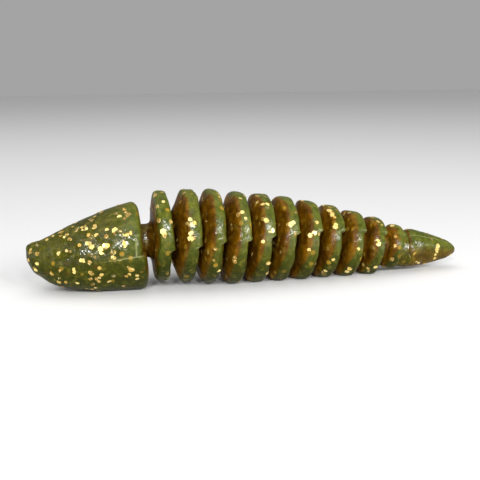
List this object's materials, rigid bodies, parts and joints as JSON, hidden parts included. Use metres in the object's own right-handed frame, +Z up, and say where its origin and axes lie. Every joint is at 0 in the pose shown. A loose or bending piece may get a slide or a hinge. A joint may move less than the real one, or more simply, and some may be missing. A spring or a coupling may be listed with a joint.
{
  "type": "soft plastic worm",
  "caption": "Small soft plastic trout worm with a bullet head, thin neck, disc ribs and a pointed tail cone; it flexes at every groove between the ribs.",
  "frame": {"origin": "on the surface that the lure lies on, under the middle of its length", "axes": "+X from the nose to the tail, +Z up, lying on its belly"},
  "size_m": [0.04, 0.0084, 0.0086],
  "materials": {
    "soft_plastic": "translucent olive green soft PVC, satin with wet looking highlights",
    "glitter": "metallised gold flake, bright"
  },
  "bodies": {
    "head": {"head": "soft_plastic", "glitter_head": "glitter"},
    "neck": {"neck": "soft_plastic"},
    "rib_01": {"rib_01": "soft_plastic", "glitter_rib_01": "glitter"},
    "core_01": {"core_01": "soft_plastic"},
    "rib_02": {"rib_02": "soft_plastic", "glitter_rib_02": "glitter"},
    "core_02": {"core_02": "soft_plastic"},
    "rib_03": {"rib_03": "soft_plastic", "glitter_rib_03": "glitter"},
    "core_03": {"core_03": "soft_plastic"},
    "rib_04": {"rib_04": "soft_plastic", "glitter_rib_04": "glitter"},
    "core_04": {"core_04": "soft_plastic"},
    "rib_05": {"rib_05": "soft_plastic", "glitter_rib_05": "glitter"},
    "core_05": {"core_05": "soft_plastic"},
    "rib_06": {"rib_06": "soft_plastic", "glitter_rib_06": "glitter"},
    "core_06": {"core_06": "soft_plastic"},
    "rib_07": {"rib_07": "soft_plastic", "glitter_rib_07": "glitter"},
    "core_07": {"core_07": "soft_plastic"},
    "rib_08": {"rib_08": "soft_plastic", "glitter_rib_08": "glitter"},
    "core_08": {"core_08": "soft_plastic"},
    "rib_09": {"rib_09": "soft_plastic", "glitter_rib_09": "glitter"},
    "core_09": {"core_09": "soft_plastic"},
    "rib_10": {"rib_10": "soft_plastic", "glitter_rib_10": "glitter"},
    "core_10": {"core_10": "soft_plastic"},
    "rib_11": {"rib_11": "soft_plastic", "glitter_rib_11": "glitter"},
    "core_11": {"core_11": "soft_plastic"},
    "tail_cone": {"tail_cone": "soft_plastic", "glitter_tail": "glitter"}
  },
  "joints": [
    {"name": "neck_pitch", "type": "hinge", "parent": "head", "child": "neck", "pos_m": [-0.01, 0, 0.00416], "axis": [0, 1, 0], "range_deg": [-6, 6], "stiffness_Nm_per_rad": 0.0014, "deforming": ["neck"]},
    {"name": "neck_yaw", "type": "hinge", "parent": "neck", "child": "rib_01", "pos_m": [-0.01, 0, 0.00416], "axis": [-0.034, 0, 0.9994], "range_deg": [-6, 6], "stiffness_Nm_per_rad": 0.0014, "deforming": ["neck"]},
    {"name": "core_01_pitch", "type": "hinge", "parent": "rib_01", "child": "core_01", "pos_m": [-0.00739, 0, 0.00448], "axis": [0, 1, 0], "range_deg": [-9, 9], "stiffness_Nm_per_rad": 0.001, "deforming": ["core_01"]},
    {"name": "core_01_yaw", "type": "hinge", "parent": "core_01", "child": "rib_02", "pos_m": [-0.00739, 0, 0.00448], "axis": [0.0456, 0, 0.999], "range_deg": [-9, 9], "stiffness_Nm_per_rad": 0.001, "deforming": ["core_01"]},
    {"name": "core_02_pitch", "type": "hinge", "parent": "rib_02", "child": "core_02", "pos_m": [-0.00521, 0, 0.00438], "axis": [0, 1, 0], "range_deg": [-9, 9], "stiffness_Nm_per_rad": 0.00093, "deforming": ["core_02"]},
    {"name": "core_02_yaw", "type": "hinge", "parent": "core_02", "child": "rib_03", "pos_m": [-0.00521, 0, 0.00438], "axis": [0.0636, 0, 0.998], "range_deg": [-9, 9], "stiffness_Nm_per_rad": 0.00093, "deforming": ["core_02"]},
    {"name": "core_03_pitch", "type": "hinge", "parent": "rib_03", "child": "core_03", "pos_m": [-0.00303, 0, 0.00416], "axis": [0, 1, 0], "range_deg": [-9, 9], "stiffness_Nm_per_rad": 0.000865, "deforming": ["core_03"]},
    {"name": "core_03_yaw", "type": "hinge", "parent": "core_03", "child": "rib_04", "pos_m": [-0.00303, 0, 0.00416], "axis": [0.0815, 0, 0.9967], "range_deg": [-9, 9], "stiffness_Nm_per_rad": 0.000865, "deforming": ["core_03"]},
    {"name": "core_04_pitch", "type": "hinge", "parent": "rib_04", "child": "core_04", "pos_m": [-0.00085, 0, 0.00395], "axis": [0, 1, 0], "range_deg": [-9, 9], "stiffness_Nm_per_rad": 0.000804, "deforming": ["core_04"]},
    {"name": "core_04_yaw", "type": "hinge", "parent": "core_04", "child": "rib_05", "pos_m": [-0.00085, 0, 0.00395], "axis": [0.0994, 0, 0.995], "range_deg": [-9, 9], "stiffness_Nm_per_rad": 0.000804, "deforming": ["core_04"]},
    {"name": "core_05_pitch", "type": "hinge", "parent": "rib_05", "child": "core_05", "pos_m": [0.00133, 0, 0.00379], "axis": [0, 1, 0], "range_deg": [-9, 9], "stiffness_Nm_per_rad": 0.000748, "deforming": ["core_05"]},
    {"name": "core_05_yaw", "type": "hinge", "parent": "core_05", "child": "rib_06", "pos_m": [0.00133, 0, 0.00379], "axis": [0.1173, 0, 0.9931], "range_deg": [-9, 9], "stiffness_Nm_per_rad": 0.000748, "deforming": ["core_05"]},
    {"name": "core_06_pitch", "type": "hinge", "parent": "rib_06", "child": "core_06", "pos_m": [0.00351, 0, 0.00359], "axis": [0, 1, 0], "range_deg": [-9, 9], "stiffness_Nm_per_rad": 0.000696, "deforming": ["core_06"]},
    {"name": "core_06_yaw", "type": "hinge", "parent": "core_06", "child": "rib_07", "pos_m": [0.00351, 0, 0.00359], "axis": [0.1351, 0, 0.9908], "range_deg": [-9, 9], "stiffness_Nm_per_rad": 0.000696, "deforming": ["core_06"]},
    {"name": "core_07_pitch", "type": "hinge", "parent": "rib_07", "child": "core_07", "pos_m": [0.00569, 0, 0.00334], "axis": [0, 1, 0], "range_deg": [-9, 9], "stiffness_Nm_per_rad": 0.000647, "deforming": ["core_07"]},
    {"name": "core_07_yaw", "type": "hinge", "parent": "core_07", "child": "rib_08", "pos_m": [0.00569, 0, 0.00334], "axis": [0.1529, 0, 0.9882], "range_deg": [-9, 9], "stiffness_Nm_per_rad": 0.000647, "deforming": ["core_07"]},
    {"name": "core_08_pitch", "type": "hinge", "parent": "rib_08", "child": "core_08", "pos_m": [0.00787, 0, 0.00305], "axis": [0, 1, 0], "range_deg": [-9, 9], "stiffness_Nm_per_rad": 0.000602, "deforming": ["core_08"]},
    {"name": "core_08_yaw", "type": "hinge", "parent": "core_08", "child": "rib_09", "pos_m": [0.00787, 0, 0.00305], "axis": [0.1706, 0, 0.9853], "range_deg": [-9, 9], "stiffness_Nm_per_rad": 0.000602, "deforming": ["core_08"]},
    {"name": "core_09_pitch", "type": "hinge", "parent": "rib_09", "child": "core_09", "pos_m": [0.01005, 0, 0.00273], "axis": [0, 1, 0], "range_deg": [-9, 9], "stiffness_Nm_per_rad": 0.00056, "deforming": ["core_09"]},
    {"name": "core_09_yaw", "type": "hinge", "parent": "core_09", "child": "rib_10", "pos_m": [0.01005, 0, 0.00273], "axis": [0.1883, 0, 0.9821], "range_deg": [-9, 9], "stiffness_Nm_per_rad": 0.00056, "deforming": ["core_09"]},
    {"name": "core_10_pitch", "type": "hinge", "parent": "rib_10", "child": "core_10", "pos_m": [0.01223, 0, 0.00247], "axis": [0, 1, 0], "range_deg": [-9, 9], "stiffness_Nm_per_rad": 0.00052, "deforming": ["core_10"]},
    {"name": "core_10_yaw", "type": "hinge", "parent": "core_10", "child": "rib_11", "pos_m": [0.01223, 0, 0.00247], "axis": [0.2059, 0, 0.9786], "range_deg": [-9, 9], "stiffness_Nm_per_rad": 0.00052, "deforming": ["core_10"]},
    {"name": "core_11_pitch", "type": "hinge", "parent": "rib_11", "child": "core_11", "pos_m": [0.01436, 0, 0.00218], "axis": [0, 1, 0], "range_deg": [-9, 9], "stiffness_Nm_per_rad": 0.000484, "deforming": ["core_11"]},
    {"name": "core_11_yaw", "type": "hinge", "parent": "core_11", "child": "tail_cone", "pos_m": [0.01436, 0, 0.00218], "axis": [0.2147, 0, 0.9767], "range_deg": [-9, 9], "stiffness_Nm_per_rad": 0.000484, "deforming": ["core_11"]}
  ],
  "couplings": [
    {"joint": "core_01_pitch", "follows": "neck_pitch", "ratio": 1.5},
    {"joint": "core_01_yaw", "follows": "neck_yaw", "ratio": 1.5},
    {"joint": "core_02_pitch", "follows": "neck_pitch", "ratio": 1.5},
    {"joint": "core_02_yaw", "follows": "neck_yaw", "ratio": 1.5},
    {"joint": "core_03_pitch", "follows": "neck_pitch", "ratio": 1.5},
    {"joint": "core_03_yaw", "follows": "neck_yaw", "ratio": 1.5},
    {"joint": "core_04_pitch", "follows": "neck_pitch", "ratio": 1.5},
    {"joint": "core_04_yaw", "follows": "neck_yaw", "ratio": 1.5},
    {"joint": "core_05_pitch", "follows": "neck_pitch", "ratio": 1.5},
    {"joint": "core_05_yaw", "follows": "neck_yaw", "ratio": 1.5},
    {"joint": "core_07_pitch", "follows": "core_06_pitch", "ratio": 1},
    {"joint": "core_07_yaw", "follows": "core_06_yaw", "ratio": 1},
    {"joint": "core_08_pitch", "follows": "core_06_pitch", "ratio": 1},
    {"joint": "core_08_yaw", "follows": "core_06_yaw", "ratio": 1},
    {"joint": "core_09_pitch", "follows": "core_06_pitch", "ratio": 1},
    {"joint": "core_09_yaw", "follows": "core_06_yaw", "ratio": 1},
    {"joint": "core_10_pitch", "follows": "core_06_pitch", "ratio": 1},
    {"joint": "core_10_yaw", "follows": "core_06_yaw", "ratio": 1},
    {"joint": "core_11_pitch", "follows": "core_06_pitch", "ratio": 1},
    {"joint": "core_11_yaw", "follows": "core_06_yaw", "ratio": 1}
  ]
}
